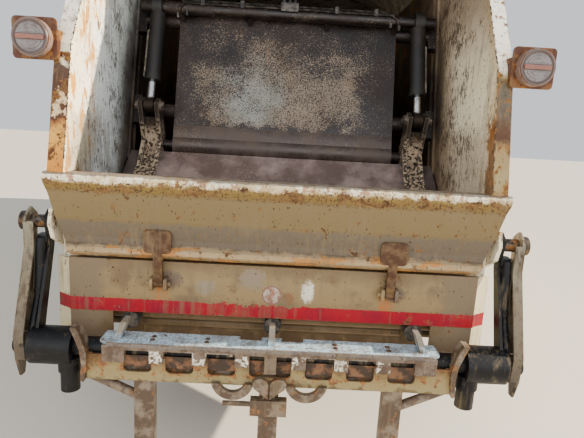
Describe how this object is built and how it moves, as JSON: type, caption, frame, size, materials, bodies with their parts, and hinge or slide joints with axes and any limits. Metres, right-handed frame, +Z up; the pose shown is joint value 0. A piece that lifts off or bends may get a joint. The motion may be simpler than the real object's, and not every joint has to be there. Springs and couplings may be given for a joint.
{
  "type": "rear loading refuse truck",
  "caption": "Two-axle rear loading refuse truck with a packing blade, a comb bin lifter and a lifting tailgate, worn and rusty.",
  "frame": {"origin": "on the ground, below the middle of the whole vehicle's length and width", "axes": "+Y points forward, +X to the vehicle's right, +Z up"},
  "size_m": [2.82, 8.2, 3.35],
  "materials": {
    "body_paint": "weathered cream paint",
    "gate_paint": "cream paint stained and rusting",
    "roof_paint": "dusty cream paint",
    "floor_steel": "worn and rusty",
    "cab_paint": "faded cream paint",
    "chassis_black": "dusty black paint",
    "mechanism_steel": "dark, greasy and worn bright in places",
    "rusty_steel": "rusty",
    "lift_grey": "chipped blue-grey paint",
    "cylinder_paint": "oily black paint",
    "rod_chrome": "bright, oily",
    "tyre_rubber": "matt, dusty",
    "rubber": "matt",
    "rim_paint": "dusty grey paint",
    "glass": "clear",
    "lamp_plastic": "clear lens over red and amber",
    "black_plastic": "matt",
    "seat_cloth": "dark woven cloth"
  },
  "bodies": {
    "chassis": {"frame_rails": "chassis_black", "leaf_springs": "chassis_black", "front_axle": "chassis_black", "rear_axle": "chassis_black", "engine_block": "chassis_black", "propeller_shaft": "chassis_black", "front_bumper": "cab_paint", "exhaust": "rusty_steel", "headlamps": "lamp_plastic", "entry_steps": "black_plastic", "fuel_tank": "chassis_black", "air_tanks": "chassis_black", "side_guards": "chassis_black", "mudguards": "black_plastic", "body_floor": "floor_steel", "body_sides": "body_paint", "body_roof": "roof_paint", "body_front": "body_paint", "body_rear_frame": "body_paint"},
    "ejector": {"ejector_plate": "floor_steel"},
    "cab": {"cab_floor": "black_plastic", "cab_sides": "cab_paint", "cab_front": "cab_paint", "cab_back": "cab_paint", "cab_roof": "cab_paint", "cab_glass": "glass", "grille": "black_plastic", "mirrors": "black_plastic", "seats": "seat_cloth", "dashboard": "black_plastic"},
    "door_l": {"door_left": "cab_paint", "door_glass_left": "glass"},
    "door_r": {"door_right": "cab_paint", "door_glass_right": "glass"},
    "steer_l": {"knuckle_left": "chassis_black"},
    "steer_r": {"knuckle_right": "chassis_black"},
    "wheel_fl": {"tyre_front_left": "tyre_rubber", "rim_front_left": "rim_paint"},
    "wheel_fr": {"tyre_front_right": "tyre_rubber", "rim_front_right": "rim_paint"},
    "wheels_rl": {"tyres_rear_left": "tyre_rubber", "rims_rear_left": "rim_paint"},
    "wheels_rr": {"tyres_rear_right": "tyre_rubber", "rims_rear_right": "rim_paint"},
    "tailgate": {"gate_walls": "gate_paint", "gate_roof": "gate_paint", "hopper_trough": "rusty_steel", "rear_panel": "gate_paint", "buffers": "rubber", "rear_lamps": "lamp_plastic"},
    "gate_barrel_pair": {"gate_barrels": "cylinder_paint"},
    "gate_rod_pair": {"gate_rods": "rod_chrome"},
    "carriage_body": {"carriage": "mechanism_steel"},
    "blade_body": {"packer_blade": "mechanism_steel"},
    "blade_barrel_pair": {"blade_barrels": "cylinder_paint"},
    "blade_rod_pair": {"blade_rods": "rod_chrome"},
    "flap": {"loading_flap": "gate_paint"},
    "bin_lifter": {"lift_arms": "gate_paint", "comb_beam": "rusty_steel", "clamp_bar": "lift_grey"}
  },
  "joints": [
    {"name": "tailgate_lift", "type": "hinge", "parent": "chassis", "child": "tailgate", "pos_m": [0, -2.25, 3.3], "axis": [-1, 0, 0], "range_deg": [0, 85]},
    {"name": "gate_barrel_swing", "type": "hinge", "parent": "chassis", "child": "gate_barrel_pair", "pos_m": [0, -2.12, 1.5], "axis": [-1, 0, 0], "range_deg": [-0.2, 5.1]},
    {"name": "gate_rod_slide", "type": "slide", "parent": "gate_barrel_pair", "child": "gate_rod_pair", "axis": [0, -0.4501, 0.893], "range_m": [-0.004, 1.0278]},
    {"name": "ejector_slide", "type": "slide", "parent": "chassis", "child": "ejector", "axis": [0, -1, 0], "range_m": [0, 3.65]},
    {"name": "cab_tilt", "type": "hinge", "parent": "chassis", "child": "cab", "pos_m": [0, 3.9, 0.9], "axis": [-1, 0, 0], "range_deg": [0, 50]},
    {"name": "door_left_swing", "type": "hinge", "parent": "cab", "child": "door_l", "pos_m": [-1.162, 3.783, 1.5], "axis": [0, 0, -1], "range_deg": [0, 70]},
    {"name": "door_right_swing", "type": "hinge", "parent": "cab", "child": "door_r", "pos_m": [1.162, 3.783, 1.5], "axis": [0, 0, 1], "range_deg": [0, 70]},
    {"name": "steer_left", "type": "hinge", "parent": "chassis", "child": "steer_l", "pos_m": [-0.85, 2.76, 0.525], "axis": [0, 0, 1], "range_deg": [-35, 35]},
    {"name": "steer_right", "type": "hinge", "parent": "chassis", "child": "steer_r", "pos_m": [0.85, 2.76, 0.525], "axis": [0, 0, 1], "range_deg": [-35.5, 35.5]},
    {"name": "spin_front_left", "type": "hinge", "parent": "steer_l", "child": "wheel_fl", "pos_m": [-1.02, 2.76, 0.525], "axis": [-1, 0, 0], "continuous": true},
    {"name": "spin_front_right", "type": "hinge", "parent": "steer_r", "child": "wheel_fr", "pos_m": [1.02, 2.76, 0.525], "axis": [-1, 0, 0], "continuous": true},
    {"name": "spin_rear_left", "type": "hinge", "parent": "chassis", "child": "wheels_rl", "pos_m": [-0.92, -1.44, 0.525], "axis": [-1, 0, 0], "continuous": true},
    {"name": "spin_rear_right", "type": "hinge", "parent": "chassis", "child": "wheels_rr", "pos_m": [0.92, -1.44, 0.525], "axis": [-1, 0, 0], "continuous": true},
    {"name": "carriage_slide", "type": "slide", "parent": "tailgate", "child": "carriage_body", "axis": [0, 0.2452, 0.9695], "range_m": [-0.22, 0.35]},
    {"name": "blade_swing", "type": "hinge", "parent": "carriage_body", "child": "blade_body", "pos_m": [0, -2.9, 1.62], "axis": [-1, 0, 0], "range_deg": [-55, 10]},
    {"name": "blade_barrel_swing", "type": "hinge", "parent": "carriage_body", "child": "blade_barrel_pair", "pos_m": [0, -2.79, 2.48], "axis": [-1, 0, 0], "range_deg": [-1.54, 7.59]},
    {"name": "blade_rod_slide", "type": "slide", "parent": "blade_barrel_pair", "child": "blade_rod_pair", "axis": [0, -0.3344, -0.9424], "range_m": [-0.0453, 0.2314]},
    {"name": "flap_swing", "type": "hinge", "parent": "tailgate", "child": "flap", "pos_m": [0, -3.868, 1.004], "axis": [1, 0, 0], "range_deg": [0, 80]},
    {"name": "bin_lift", "type": "hinge", "parent": "tailgate", "child": "bin_lifter", "pos_m": [0, -3.84, 1.28], "axis": [-1, 0, 0], "range_deg": [0, 140]}
  ],
  "couplings": [
    {"joint": "gate_barrel_swing", "follows": "tailgate_lift", "ratio": 0.0576},
    {"joint": "gate_rod_slide", "follows": "tailgate_lift", "m_per_rad": 0.6901},
    {"joint": "steer_right", "follows": "steer_left", "ratio": 1},
    {"joint": "blade_barrel_swing", "follows": "blade_swing", "ratio": -0.1343},
    {"joint": "blade_rod_slide", "follows": "blade_swing", "m_per_rad": -0.2369}
  ]
}
